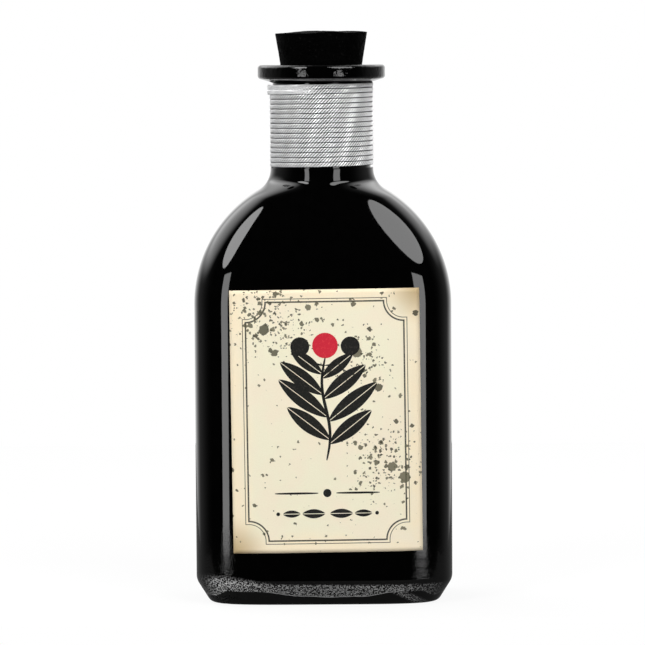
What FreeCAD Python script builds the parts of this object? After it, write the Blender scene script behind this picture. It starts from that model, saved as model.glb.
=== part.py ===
"""A small corked glass flask with a cord-bound neck and a paper label, as four separate pieces.

Millimetres. +Z is up, the flask stands on Z = 0 with the neck on the Z axis, and the label faces -Y.
"""
import FreeCAD, Part
import math
import os
from FreeCAD import Vector

# Glass body
BODY_WIDTH = 63.0
BODY_DEPTH = 36.0
BODY_SQUARENESS = 4.5           # power of the superellipse section: more is squarer
ROUND_SQUARENESS = 2.0          # the power that makes the section an oval or a circle
WALL_THICKNESS = 3.0
BASE_THICKNESS = 7.0
CAVITY_FLOOR_ROUND = 5.0

# Heel and foot
HEEL_HEIGHT = 5.5
HEEL_INSET = 3.3
HEEL_BLEND_RADIUS = 3.5
FOOT_ROUND = 1.6
FOOT_RING_WIDTH = 4.6
PUSH_UP_DEPTH = 1.2
PUSH_UP_SLOPE = 3.0             # run of the push-up's sloping edge

# Shoulder: a convex arc that meets a concave fillet arc, different at the sides and the panels
SHOULDER_FOOT = 73.0            # height where the sides begin to turn in
SHOULDER_HEIGHT = 33.0
SIDE_FILLET_RADIUS = 6.0
PANEL_DELAY = 7.0               # the front and back panels turn in this much higher
PANEL_EARLY_END = 2.25          # and reach the neck this much lower
PANEL_FILLET_RADIUS = 4.0
ROUNDING_HEIGHT = 6.0           # the square section turns round over this height below the neck

# Neck and lip
BORE_RADIUS = 10.0
NECK_WALL = 1.95
NECK_STEP = 0.65                # the winding's seat is turned down by this much
NECK_BAND = 0.3                 # plain glass band below the winding's seat
WINDING_SEAT_HEIGHT = 20.75
LIP_OVERHANG = 3.0
LIP_UNDERSIDE_RISE = 1.15
LIP_RIM_HEIGHT = 3.2
LIP_ROUND = 0.8
MOUTH_ROUND = 0.6
BORE_LEDGE = 0.6                # the blown shoulder is this much wider inside than the pressed bore

# Cork
CORK_STAND_OUT = 8.6
CORK_INSERT = 12.0
CORK_TAPER = 8.84               # degrees from the axis
CORK_CROWN = 0.4
CORK_BOTTOM_ROUND = 0.5
CORK_SEAT_CLEARANCE = 0.04

# Neck winding
CORD_DIAMETER = 0.75
CORD_TURN_GAP = 0.45
CORD_SEAT_CLEARANCE = 0.03
CORD_END_CLEARANCE = 0.08
CORD_START = 135.0              # degrees round the neck: the winding starts at the back, on the left

# Paper label
LABEL_WIDTH = 46.0
LABEL_HEIGHT = 64.0
LABEL_THICKNESS = 0.15
GLUE_THICKNESS = 0.05
LABEL_BOTTOM = 13.2
LABEL_SHIFT = 0.64
LABEL_TILT = 0.35               # degrees, turned a little by hand when it was glued

# Fineness of the smooth sections
SECTION_POINTS = 48
SHOULDER_SECTIONS = 32
ROUND_SECTIONS = 6              # sections along each rounded corner of the heel and the cavity's floor
SHOULDER_LEAD = 6.0             # straight wall that the shoulder's surface starts with

# Sizes that follow from those above
SEAT_RADIUS = BORE_RADIUS + NECK_WALL
NECK_RADIUS = SEAT_RADIUS + NECK_STEP
SHOULDER_TOP = SHOULDER_FOOT + SHOULDER_HEIGHT
SEAT_BOTTOM = SHOULDER_TOP + NECK_BAND
SEAT_TOP = SEAT_BOTTOM + WINDING_SEAT_HEIGHT
LIP_RADIUS = NECK_RADIUS + LIP_OVERHANG
LIP_EDGE_BOTTOM = SEAT_TOP + LIP_UNDERSIDE_RISE
LIP_TOP = LIP_EDGE_BOTTOM + LIP_RIM_HEIGHT

Z_AXIS = Vector(0, 0, 1)
TOUCH = 0.001


def section(half_width, half_depth, squareness, z):
    """One smooth closed outline of the flask at height z: a superellipse."""
    points = []
    for index in range(SECTION_POINTS):
        turn = 2 * math.pi * index / SECTION_POINTS
        cosine = math.cos(turn)
        sine = math.sin(turn)
        reach = (abs(cosine) ** squareness + abs(sine) ** squareness) ** (-1 / squareness)
        points.append(Vector(half_width * reach * cosine, half_depth * reach * sine, z))
    curve = Part.BSplineCurve()
    curve.interpolate(Points=points, PeriodicFlag=True, Parameters=list(range(SECTION_POINTS + 1)))
    return Part.Wire(curve.toShape())


def body_section(inset, z):
    """The body's outline at height z, set in by an inset."""
    return section(BODY_WIDTH / 2 - inset, BODY_DEPTH / 2 - inset, BODY_SQUARENESS, z)


def prism(inset, bottom, top):
    """A straight wall of the body's outline, set in by an inset, between two heights."""
    return Part.Face(body_section(inset, bottom)).extrude(Vector(0, 0, top - bottom))


def rounded(levels, ruled=False):
    """A solid whose outline follows a profile, given as insets and heights from the bottom up."""
    return Part.makeLoft([body_section(inset, z) for inset, z in levels], True, ruled)


def edges_at(solid, z):
    """The edges of a solid that lie flat at height z."""
    return [edge for edge in solid.Edges
            if abs(edge.BoundBox.ZMin - z) < TOUCH and abs(edge.BoundBox.ZMax - z) < TOUCH]


def two_arcs(z, foot, top, foot_half, top_half, fillet):
    """Half width at height z of a wall that turns in by a convex arc and ends in a concave fillet."""
    rise = top - foot
    turn = 2 * math.atan2(foot_half - top_half, rise)
    crown = rise / math.sin(turn) - fillet
    if z <= foot:
        return foot_half
    if z >= top:
        return top_half
    if z < foot + crown * math.sin(turn):
        return foot_half - crown + math.sqrt(crown ** 2 - (z - foot) ** 2)
    return top_half + fillet - math.sqrt(fillet ** 2 - (top - z) ** 2)


def squareness_at(z, top):
    """Power of the section: the body's own, easing to a circle's at the neck."""
    share = min(max((top - z) / ROUNDING_HEIGHT, 0.0), 1.0)
    return ROUND_SQUARENESS + (BODY_SQUARENESS - ROUND_SQUARENESS) * share ** 2 * (3 - 2 * share)


def shoulder(inset, neck_radius, top, end):
    """The shoulder as one loft, set in from the outside by an inset, from the straight wall to end."""
    start = SHOULDER_FOOT - SHOULDER_LEAD
    sections = []
    for index in range(SHOULDER_SECTIONS + 1):
        z = start + (end - start) * index / SHOULDER_SECTIONS
        half_width = two_arcs(z, SHOULDER_FOOT, top, BODY_WIDTH / 2 - inset, neck_radius,
                              SIDE_FILLET_RADIUS)
        half_depth = two_arcs(z, SHOULDER_FOOT + PANEL_DELAY, top - PANEL_EARLY_END,
                              BODY_DEPTH / 2 - inset, neck_radius, PANEL_FILLET_RADIUS)
        sections.append(section(half_width, half_depth, squareness_at(z, top), z))
    return Part.makeLoft(sections, True, False)


def heel_and_wall():
    """The straight wall on its tapered heel, with a soft blend, a rounded foot and a push-up."""
    slope = math.atan2(HEEL_INSET, HEEL_HEIGHT)
    foot_turn = math.pi / 2 - slope
    foot_inset = HEEL_INSET + FOOT_ROUND * math.tan(foot_turn / 2)
    blend_top = HEEL_HEIGHT + HEEL_BLEND_RADIUS * math.tan(slope / 2)
    foot_round = []
    blend = []
    for index in range(ROUND_SECTIONS + 1):
        share = index / ROUND_SECTIONS
        foot_angle = foot_turn * share
        foot_round.append((foot_inset - FOOT_ROUND * math.sin(foot_angle),
                           FOOT_ROUND * (1 - math.cos(foot_angle))))
        blend_angle = slope * (1 - share)
        blend.append((HEEL_BLEND_RADIUS * (1 - math.cos(blend_angle)),
                      blend_top - HEEL_BLEND_RADIUS * math.sin(blend_angle)))
    middle = tuple((low + high) / 2 for low, high in zip(foot_round[-1], blend[0]))
    heel = rounded(foot_round + [middle] + blend)
    lower = heel.fuse(prism(0, blend_top, SHOULDER_FOOT - SHOULDER_LEAD))
    push_up_inset = HEEL_INSET + FOOT_RING_WIDTH
    push_up = rounded([(push_up_inset, 0), (push_up_inset + PUSH_UP_SLOPE, PUSH_UP_DEPTH)], True)
    return lower.cut(push_up)


def neck_and_lip():
    """The turned-down neck and its lip ring, revolved from one profile."""
    profile = [
        Vector(0, 0, SHOULDER_FOOT),
        Vector(SEAT_RADIUS, 0, SHOULDER_FOOT),
        Vector(SEAT_RADIUS, 0, SEAT_TOP),
        Vector(LIP_RADIUS, 0, LIP_EDGE_BOTTOM),
        Vector(LIP_RADIUS, 0, LIP_TOP),
        Vector(0, 0, LIP_TOP),
    ]
    outline = Part.makePolygon(profile + profile[:1])
    neck = Part.Face(outline).revolve(Vector(0, 0, 0), Z_AXIS, 360)
    return neck.makeFillet(LIP_ROUND, edges_at(neck, LIP_EDGE_BOTTOM) + edges_at(neck, LIP_TOP))


def cavity():
    """The space inside the glass: a rounded floor, straight walls, a shoulder and the neck's bore."""
    floor_round = []
    for index in range(ROUND_SECTIONS + 1):
        angle = math.pi / 2 * index / ROUND_SECTIONS
        floor_round.append((WALL_THICKNESS + CAVITY_FLOOR_ROUND * (1 - math.sin(angle)),
                            BASE_THICKNESS + CAVITY_FLOOR_ROUND * (1 - math.cos(angle))))
    walls = prism(WALL_THICKNESS, BASE_THICKNESS + CAVITY_FLOOR_ROUND, SHOULDER_FOOT - SHOULDER_LEAD)
    inner_top = SHOULDER_TOP - WALL_THICKNESS
    upper = shoulder(WALL_THICKNESS, BORE_RADIUS + BORE_LEDGE, inner_top, inner_top)
    bore_bottom = inner_top - WALL_THICKNESS
    bore = Part.makeCylinder(BORE_RADIUS, LIP_TOP - bore_bottom, Vector(0, 0, bore_bottom))
    return walls.fuse([rounded(floor_round), upper, bore])


def glass_bottle():
    """The mould-blown flask: heel, wall, shoulder, neck and lip round one cavity."""
    upper = shoulder(0, NECK_RADIUS, SHOULDER_TOP, SEAT_BOTTOM)
    outside = heel_and_wall().fuse([upper, neck_and_lip()])
    bottle = outside.cut(cavity())
    mouth = [edge for edge in edges_at(bottle, LIP_TOP)
             if abs(edge.BoundBox.XMax - BORE_RADIUS) < TOUCH]
    return bottle.makeFillet(MOUTH_ROUND, mouth)


def cork_stopper():
    """A tapered cork that sits on the rounded edge of the mouth, with a slightly crowned top."""
    taper = math.radians(CORK_TAPER)
    slope = math.tan(taper)
    # The cone keeps its clearance from the mouth's round, measured square to the cone.
    seat_radius = (BORE_RADIUS + MOUTH_ROUND - (MOUTH_ROUND + CORK_SEAT_CLEARANCE) / math.cos(taper)
                   + MOUTH_ROUND * slope)
    rim = LIP_TOP + CORK_STAND_OUT - CORK_CROWN
    bottom = LIP_TOP - CORK_INSERT
    rim_radius = seat_radius + slope * (rim - LIP_TOP)
    bottom_radius = seat_radius + slope * (bottom - LIP_TOP)
    crown_radius = (rim_radius ** 2 + CORK_CROWN ** 2) / (2 * CORK_CROWN)
    half_angle = math.asin(rim_radius / crown_radius) / 2
    crown_centre = rim + CORK_CROWN - crown_radius
    axis_bottom = Vector(0, 0, bottom)
    edge_bottom = Vector(bottom_radius, 0, bottom)
    edge_rim = Vector(rim_radius, 0, rim)
    crown_middle = Vector(crown_radius * math.sin(half_angle), 0,
                          crown_centre + crown_radius * math.cos(half_angle))
    crown_top = Vector(0, 0, rim + CORK_CROWN)
    outline = Part.Wire([
        Part.makeLine(axis_bottom, edge_bottom),
        Part.makeLine(edge_bottom, edge_rim),
        Part.Arc(edge_rim, crown_middle, crown_top).toShape(),
        Part.makeLine(crown_top, axis_bottom),
    ])
    cork = Part.Face(outline).revolve(Vector(0, 0, 0), Z_AXIS, 360)
    return cork.makeFillet(CORK_BOTTOM_ROUND, edges_at(cork, bottom))


def arc_from(start, direction, end):
    """The arc that leaves start along a direction and ends at end."""
    chord = end - start
    along = Vector(chord).normalize()
    half_turn = direction.getAngle(along)
    side = (direction - along * direction.dot(along)).normalize()
    middle = (start + end) * 0.5 + side * (chord.Length / 2 * math.tan(half_turn / 2))
    return Part.Arc(start, middle, end).toShape()


def biarc(start, start_way, end, end_way):
    """Two tangent arcs from one point and direction to another."""
    chord = end - start
    ways = start_way + end_way
    square = 4 - ways.dot(ways)
    linear = chord.dot(ways)
    reach = (math.sqrt(linear ** 2 + square * chord.dot(chord)) - linear) / square
    joint = (start + end) * 0.5 + (start_way - end_way) * (reach / 2)
    joint_way = (end - start - ways * reach).normalize()
    return [arc_from(start, start_way, joint), arc_from(joint, joint_way, end)]


def neck_cord():
    """One unbroken cord wound up the neck in a single layer, from the step to the lip."""
    pitch = CORD_DIAMETER + CORD_TURN_GAP
    radius = SEAT_RADIUS + CORD_SEAT_CLEARANCE + CORD_DIAMETER / 2
    margin = CORD_DIAMETER / 2 + CORD_END_CLEARANCE
    first_height = SEAT_BOTTOM + margin
    quarters = int(4 * (WINDING_SEAT_HEIGHT - 2 * margin) / pitch)
    points = []
    ways = []
    for quarter in range(quarters + 1):
        turn = math.radians(CORD_START) + math.pi / 2 * quarter
        points.append(Vector(radius * math.cos(turn), radius * math.sin(turn),
                             first_height + pitch * quarter / 4))
        ways.append(Vector(-radius * math.sin(turn), radius * math.cos(turn),
                           pitch / (2 * math.pi)).normalize())
    tail = points[0] - ways[0] * CORD_DIAMETER
    tip = points[-1] + ways[-1] * CORD_DIAMETER
    edges = [Part.makeLine(tail, points[0])]
    for quarter in range(quarters):
        edges += biarc(points[quarter], ways[quarter], points[quarter + 1], ways[quarter + 1])
    edges.append(Part.makeLine(points[-1], tip))
    path = Part.Wire(edges)
    ring = Part.Wire(Part.makeCircle(CORD_DIAMETER / 2, tail, ways[0]))
    cord = path.makePipeShell([ring], True, False)
    report_cord(path, cord, pitch)
    return cord


def report_cord(path, cord, pitch):
    """Print the cord's length, its volume against section times length, and its least gap to itself."""
    length = path.Length
    expected = math.pi * CORD_DIAMETER ** 2 / 4 * length
    samples = path.discretize(Distance=pitch / 2)
    skip = int(math.pi * SEAT_RADIUS / (pitch / 2))
    window = 4 * skip
    nearest = min(samples[first].distanceToPoint(samples[second])
                  for first in range(len(samples))
                  for second in range(first + skip, min(first + window, len(samples))))
    print(f"cord length {length:.1f} mm, volume {cord.Volume:.2f} of {expected:.2f} mm3, "
          f"least gap to itself {nearest - CORD_DIAMETER:.3f} mm")


def front_label():
    """A thin paper rectangle that follows the front panel, glued a little off the middle."""
    top = LABEL_BOTTOM + LABEL_HEIGHT
    outer = prism(-GLUE_THICKNESS - LABEL_THICKNESS, HEEL_HEIGHT, SHOULDER_TOP)
    inner = prism(-GLUE_THICKNESS, HEEL_HEIGHT, SHOULDER_TOP)
    cutter = Part.makeBox(LABEL_WIDTH, BODY_DEPTH, LABEL_HEIGHT,
                          Vector(LABEL_SHIFT - LABEL_WIDTH / 2, -BODY_DEPTH, LABEL_BOTTOM))
    middle = Vector(LABEL_SHIFT, 0, (LABEL_BOTTOM + top) / 2)
    cutter.rotate(middle, Vector(0, -1, 0), LABEL_TILT)
    return outer.cut(inner).common(cutter)


PIECES = {
    "glass_bottle": glass_bottle,
    "cork_stopper": cork_stopper,
    "neck_cord": neck_cord,
    "front_label": front_label,
}

os.makedirs("parts", exist_ok=True)
for name, make in PIECES.items():
    shape = make()
    if len(shape.Solids) == 1:
        shape = shape.Solids[0]
    print(f"{name}: {shape.ShapeType}, valid {shape.isValid()}, volume {shape.Volume:.1f} mm3, "
          f"box {shape.BoundBox}")
    shape.exportStep(f"parts/{name}.step")
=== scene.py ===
# %% [markdown]
# # A black flask with a cork, a bound neck and a paper label
# The imported CAD model comes first, as a fixed frame. Every piece below is made in that frame, in
# metres, so nothing has to be fitted by eye.

# %% Load the frame
import math
from collections import namedtuple

import bmesh
import bpy
from mathutils import Matrix, Vector, noise


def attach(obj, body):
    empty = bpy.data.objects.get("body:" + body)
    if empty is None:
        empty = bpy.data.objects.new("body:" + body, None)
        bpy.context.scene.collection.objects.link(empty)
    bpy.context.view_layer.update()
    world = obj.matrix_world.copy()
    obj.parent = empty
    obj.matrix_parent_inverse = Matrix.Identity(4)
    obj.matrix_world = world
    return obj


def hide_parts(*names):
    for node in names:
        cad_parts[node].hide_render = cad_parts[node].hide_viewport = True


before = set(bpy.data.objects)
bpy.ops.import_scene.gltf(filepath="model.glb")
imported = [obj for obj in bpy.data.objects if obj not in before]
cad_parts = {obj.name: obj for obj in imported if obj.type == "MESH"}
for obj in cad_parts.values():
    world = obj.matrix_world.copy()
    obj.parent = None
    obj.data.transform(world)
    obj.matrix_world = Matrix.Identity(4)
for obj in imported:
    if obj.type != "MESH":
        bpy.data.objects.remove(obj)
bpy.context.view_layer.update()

scene = bpy.context.scene
scene.view_settings.view_transform = "Standard"
MM = 0.001

# %% [markdown]
# ## Camera
# The picture was taken from about the cork's height, through a long lens, looking a little down. The
# lens, the distance and the height were fitted to known sizes in the picture, so they are plain
# numbers. The bottle leans a third of a degree to the left in the picture, which the camera takes up
# by rolling the other way.

# %% Camera
FRAME_PIXELS = 645
FOCAL_PIXELS = 3660
SENSOR_WIDTH = 36.0
CAMERA_PLACE = Vector((0.0, -900 * MM, 136.5 * MM))
CAMERA_AIM = Vector((-0.1 * MM, 0.0, 68.0 * MM))
CAMERA_ROLL = math.radians(-0.37)

lens = bpy.data.cameras.new("camera")
lens.sensor_width = SENSOR_WIDTH
lens.lens = SENSOR_WIDTH * FOCAL_PIXELS / FRAME_PIXELS
camera = bpy.data.objects.new("camera", lens)
camera.location = CAMERA_PLACE
aim = (CAMERA_AIM - CAMERA_PLACE).to_track_quat("-Z", "Y")
camera.rotation_euler = (aim.to_matrix() @ Matrix.Rotation(CAMERA_ROLL, 3, "Z")).to_euler()
scene.collection.objects.link(camera)
scene.camera = camera
print(f"camera with a {lens.lens:.0f} mm lens, {CAMERA_PLACE.length:.2f} m from the bottle's foot")

# %% [markdown]
# ## Outline of the flask
# Seen from above, the body is a rounded rectangle that turns into a circle at the neck. A box with
# bevelled corners would show a seam where each corner ends. A superellipse has no seam, and one
# number, its squareness, takes it from rectangle to circle. The CAD model has the same outlines, with
# a turn into the neck that is a little higher.

# %% Sizes of the flask
BODY_HALF_WIDTH = 31.5 * MM
BODY_HALF_DEPTH = 18.0 * MM
BODY_SQUARENESS = 4.5
ROUND_SQUARENESS = 2.0
WALL_THICKNESS = 3.0 * MM
BASE_THICKNESS = 7.0 * MM
FLOOR_ROUND = 5.0 * MM
HEEL_HEIGHT = 5.5 * MM
HEEL_INSET = 3.3 * MM
HEEL_BLEND = 3.5 * MM
FOOT_ROUND = 1.6 * MM
PUSH_UP_INSET = 7.9 * MM
PUSH_UP_SLOPE = 3.0 * MM
PUSH_UP_DEPTH = 1.2 * MM
SHOULDER_FOOT = 73.0 * MM
SHOULDER_TOP = 106.0 * MM
SIDE_FILLET = 6.0 * MM
PANEL_DELAY = 7.0 * MM
PANEL_EARLY_END = 2.8 * MM
PANEL_FILLET = 4.0 * MM
ROUNDING_HEIGHT = 4.0 * MM
NECK_PINCH = 0.08
BORE_RADIUS = 10.0 * MM
BORE_LEDGE = 0.6 * MM
SEAT_RADIUS = 11.95 * MM
NECK_RADIUS = 12.6 * MM
SEAT_BOTTOM = 106.3 * MM
SEAT_TOP = 127.05 * MM
LIP_RADIUS = 15.6 * MM
LIP_EDGE_BOTTOM = 128.2 * MM
LIP_TOP = 131.4 * MM
LIP_ROUND = 0.8 * MM
MOUTH_ROUND = 0.6 * MM

Level = namedtuple("Level", "half_width half_depth squareness height")


def body_level(inset, height):
    """The body's outline at a height, set in by an inset."""
    return Level(BODY_HALF_WIDTH - inset, BODY_HALF_DEPTH - inset, BODY_SQUARENESS, height)


def round_level(radius, height):
    """A circle at a height, for the neck, the lip and the bore."""
    return Level(radius, radius, ROUND_SQUARENESS, height)


def two_arcs(height, foot, top, foot_half, top_half, fillet):
    """Half width of a wall that turns in by a convex arc and ends in a concave fillet."""
    rise = top - foot
    turn = 2 * math.atan2(foot_half - top_half, rise)
    crown = rise / math.sin(turn) - fillet
    if height <= foot:
        return foot_half
    if height >= top:
        return top_half
    if height < foot + crown * math.sin(turn):
        return foot_half - crown + math.sqrt(crown ** 2 - (height - foot) ** 2)
    return top_half + fillet - math.sqrt(fillet ** 2 - (top - height) ** 2)


def shoulder_level(inset, neck_radius, top, height):
    """The shoulder's outline: the wide sides turn in early, the flat panels late."""
    half_width = two_arcs(height, SHOULDER_FOOT, top, BODY_HALF_WIDTH - inset, neck_radius, SIDE_FILLET)
    panel_top = top - PANEL_EARLY_END
    half_depth = two_arcs(height, SHOULDER_FOOT + PANEL_DELAY, panel_top,
                          BODY_HALF_DEPTH - inset, neck_radius, PANEL_FILLET)
    share = min(max((panel_top - height) / ROUNDING_HEIGHT, 0.0), 1.0)
    ease = share ** 2 * (3 - 2 * share)
    pinch = NECK_PINCH * min((top - height) / PANEL_EARLY_END, 1.0) * (1 - ease)
    squareness = ROUND_SQUARENESS - pinch + (BODY_SQUARENESS - ROUND_SQUARENESS) * ease
    return Level(half_width, half_depth, squareness, height)


def steps(count, first=0.0, last=1.0):
    """Evenly spaced values from first to last, both included."""
    return [first + (last - first) * index / count for index in range(count + 1)]


print(f"the flask is {2000 * BODY_HALF_WIDTH:.0f} mm wide and {2000 * BODY_HALF_DEPTH:.0f} mm deep")

# %% [markdown]
# ## Outside of the glass
# The list of levels runs from the hollow under the foot, round the heel, up the wall and shoulder,
# and over the lip. Rounds are short runs of levels along an arc, closer together than the straight
# stretches, so the gloss runs smoothly over them.

# %% Levels of the outside
ROUND_STEPS = 8
SHOULDER_STEPS = 52
NECK_FOOT = 99.0 * MM
NECK_FOOT_STEPS = 28
WALL_STEPS = 8
EDGE_KEEP = 0.4 * MM


def heel_levels():
    """Foot round, sloping heel and the soft blend into the wall."""
    slope = math.atan2(HEEL_INSET, HEEL_HEIGHT)
    foot_turn = math.pi / 2 - slope
    foot_inset = HEEL_INSET + FOOT_ROUND * math.tan(foot_turn / 2)
    blend_top = HEEL_HEIGHT + HEEL_BLEND * math.tan(slope / 2)
    foot = [body_level(foot_inset - FOOT_ROUND * math.sin(turn), FOOT_ROUND * (1 - math.cos(turn)))
            for turn in steps(ROUND_STEPS, 0.0, foot_turn)]
    blend = [body_level(HEEL_BLEND * (1 - math.cos(turn)), blend_top - HEEL_BLEND * math.sin(turn))
             for turn in steps(ROUND_STEPS, slope, 0.0)]
    return foot + blend


def lip_levels():
    """The seat of the winding, the lip's underside, its rounded rim and the mouth's round."""
    levels = [round_level(SEAT_RADIUS, height) for height in steps(WALL_STEPS, SEAT_BOTTOM, SEAT_TOP)]
    under = math.atan2(LIP_EDGE_BOTTOM - SEAT_TOP, LIP_RADIUS - SEAT_RADIUS)
    low_turn = math.pi / 2 - under
    low_centre = LIP_EDGE_BOTTOM + LIP_ROUND * math.tan(low_turn / 2)
    for turn in steps(ROUND_STEPS, -low_turn, 0.0):
        levels.append(round_level(LIP_RADIUS - LIP_ROUND * (1 - math.cos(turn)),
                                  low_centre + LIP_ROUND * math.sin(turn)))
    for turn in steps(ROUND_STEPS, 0.0, math.pi / 2):
        levels.append(round_level(LIP_RADIUS - LIP_ROUND * (1 - math.cos(turn)),
                                  LIP_TOP - LIP_ROUND * (1 - math.sin(turn))))
    for turn in steps(ROUND_STEPS, math.pi / 2, math.pi):
        levels.append(round_level(BORE_RADIUS + MOUTH_ROUND * (1 + math.cos(turn)),
                                  LIP_TOP - MOUTH_ROUND * (1 - math.sin(turn))))
    return levels


heel = heel_levels()
wall_foot = heel[-1].height + EDGE_KEEP
wall = [body_level(0.0, height) for height in steps(WALL_STEPS, wall_foot, SHOULDER_FOOT)]
shoulder_heights = steps(SHOULDER_STEPS, SHOULDER_FOOT, NECK_FOOT)[1:]
shoulder_heights += steps(NECK_FOOT_STEPS, NECK_FOOT, SHOULDER_TOP)[1:]
shoulder = [shoulder_level(0.0, NECK_RADIUS, SHOULDER_TOP, height) for height in shoulder_heights]
neck_step = [round_level(NECK_RADIUS, SEAT_BOTTOM)]
outside = heel + wall + shoulder + neck_step + lip_levels()
print("levels up the outside:", len(outside))

# %% [markdown]
# ## Inside of the glass
# Clear glass bends light at both of its faces, so the bottle needs its inner wall too. The same
# kind of list goes on from the mouth, down the bore, out under the shoulder and down to a rounded
# floor.

# %% Levels of the inside
inner_top = SHOULDER_TOP - WALL_THICKNESS
bore_heights = steps(WALL_STEPS, LIP_TOP - MOUTH_ROUND, inner_top)[1:]
inside = [round_level(BORE_RADIUS, height) for height in bore_heights]
inside += [shoulder_level(WALL_THICKNESS, BORE_RADIUS + BORE_LEDGE, inner_top, height)
           for height in steps(SHOULDER_STEPS, inner_top, SHOULDER_FOOT)]
floor_top = BASE_THICKNESS + FLOOR_ROUND
inside += [body_level(WALL_THICKNESS, height) for height in steps(WALL_STEPS, SHOULDER_FOOT, floor_top)[1:]]
inside += [body_level(WALL_THICKNESS + FLOOR_ROUND * (1 - math.cos(turn)),
                      floor_top - FLOOR_ROUND * math.sin(turn))
           for turn in steps(ROUND_STEPS, 0.0, math.pi / 2)[1:]]
under_foot = [body_level(PUSH_UP_INSET + PUSH_UP_SLOPE, PUSH_UP_DEPTH), body_level(PUSH_UP_INSET, 0.0)]
print("levels down the inside:", len(inside))

# %% [markdown]
# ## One ring through all the levels
# A spin makes round bottles, but not one that is wide and flat below and round above. So a circle
# of vertices is extruded from level to level, and after each extrusion its vertices move out to
# that level's outline. The angle of a vertex is read back from where it stands, so no list of
# points is kept.

# %% Helpers that make a piece
RING_SEGMENTS = 192


def outline_point(turn, level):
    """The point of a level's superellipse in the direction of an angle."""
    cosine = math.cos(turn)
    sine = math.sin(turn)
    power = level.squareness
    reach = (abs(cosine) ** power + abs(sine) ** power) ** (-1 / power)
    return Vector((level.half_width * reach * cosine, level.half_depth * reach * sine, level.height))


def extrude_ring(bm, edges):
    """Extrude a ring of edges in place, and return its new edges and vertices."""
    made = bmesh.ops.extrude_edge_only(bm, edges=edges)["geom"]
    verts = [part for part in made if isinstance(part, bmesh.types.BMVert)]
    fresh = set(verts)
    ring = [part for part in made if isinstance(part, bmesh.types.BMEdge) and fresh.issuperset(part.verts)]
    return ring, verts


def stack_levels(bm, levels, segments):
    """Take one circle through a list of levels, and return its first and last ring of edges."""
    verts = bmesh.ops.create_circle(bm, segments=segments, radius=1.0)["verts"]
    first_edges = list({edge for vert in verts for edge in vert.link_edges})
    edges = first_edges
    last = Level(1.0, 1.0, ROUND_SQUARENESS, 0.0)
    for index, level in enumerate(levels):
        if index:
            edges, verts = extrude_ring(bm, edges)
        for vert in verts:
            turn = math.atan2(vert.co.y / last.half_depth, vert.co.x / last.half_width)
            vert.co = outline_point(turn, level)
        last = level
    return first_edges, edges


SHARP_ANGLE = math.radians(40)


def make_piece(bm, name, body, node=None, front=None):
    """Turn a bmesh into a smooth piece that rides on a body and may stand for a CAD node."""
    bmesh.ops.recalc_face_normals(bm, faces=bm.faces)
    bm.normal_update()
    if front:
        bmesh.ops.reverse_faces(bm, faces=[face for face in bm.faces if face.normal.dot(front) < 0])
    mesh = bpy.data.meshes.new(name)
    bm.to_mesh(mesh)
    bm.free()
    mesh.shade_smooth()
    mesh.set_sharp_from_angle(angle=SHARP_ANGLE)
    piece = bpy.data.objects.new(name, mesh)
    scene.collection.objects.link(piece)
    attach(piece, body)
    if node:
        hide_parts(node)
    print(f"{name}: {len(mesh.polygons)} faces on {body}")
    return piece


# %% The glass
bm = bmesh.new()
foot_ring, floor_ring = stack_levels(bm, under_foot + outside + inside, RING_SEGMENTS)
bmesh.ops.contextual_create(bm, geom=foot_ring)
bmesh.ops.contextual_create(bm, geom=floor_ring)
bottle_glass = make_piece(bm, "bottle_glass", "bottle", "glass_bottle")

# %% [markdown]
# ## Nodes without clutter
# A finish is a small net of nodes. Short helpers keep that net readable. The main ones add a node
# with its settings and inputs, do arithmetic, and spread a value from one range to another.

# %% Helpers for finishes


def new_finish(name):
    """A new material, its node tree and its Principled shader."""
    material = bpy.data.materials.new(name)
    material.use_nodes = True
    tree = material.node_tree
    return material, tree, tree.nodes["Principled BSDF"]


def add_node(tree, kind, inputs, **settings):
    """Add a node: an input that is a socket gets a link, any other input a plain value."""
    node = tree.nodes.new(kind)
    for name, value in settings.items():
        setattr(node, name, value)
    for name, value in inputs.items():
        if isinstance(value, bpy.types.NodeSocket):
            tree.links.new(value, node.inputs[name])
        else:
            node.inputs[name].default_value = value
    return node


def sums(tree, operation, *values):
    """One step of arithmetic on values or sockets."""
    return add_node(tree, "ShaderNodeMath", dict(enumerate(values)), operation=operation).outputs[0]


def spread(tree, value, low, high, to_low=0.0, to_high=1.0):
    """Spread a value from one range to another, held at both ends, with a soft start and end."""
    node = add_node(tree, "ShaderNodeMapRange",
                    {"Value": value, "From Min": low, "From Max": high, "To Min": to_low, "To Max": to_high},
                    interpolation_type="SMOOTHSTEP")
    return node.outputs["Result"]


def mixed(tree, share, first, second):
    """Mix two colours by a share."""
    node = tree.nodes.new("ShaderNodeMix")
    node.data_type = "RGBA"
    for index, value in ((0, share), (6, first), (7, second)):
        if isinstance(value, bpy.types.NodeSocket):
            tree.links.new(value, node.inputs[index])
        else:
            node.inputs[index].default_value = value
    return node.outputs[2]


def speckle(tree, scale, detail=2.0, vector=None):
    """Noise over the object, with a scale in features to the metre."""
    place = vector or tree.nodes.new("ShaderNodeTexCoord").outputs["Object"]
    inputs = {"Vector": place, "Scale": scale, "Detail": detail}
    return add_node(tree, "ShaderNodeTexNoise", inputs).outputs[0]


def height_map(tree, shader, height, strength, distance):
    """Feed a height to the shader's normal by a Bump node."""
    bump = add_node(tree, "ShaderNodeBump", {"Height": height, "Strength": strength, "Distance": distance})
    tree.links.new(bump.outputs["Normal"], shader.inputs["Normal"])


def set_plain(shader, **values):
    """Set sockets of the shader that are the same all over."""
    for name, value in values.items():
        shader.inputs[name.replace("_", " ")].default_value = value


print("helpers for finishes are ready")

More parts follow.
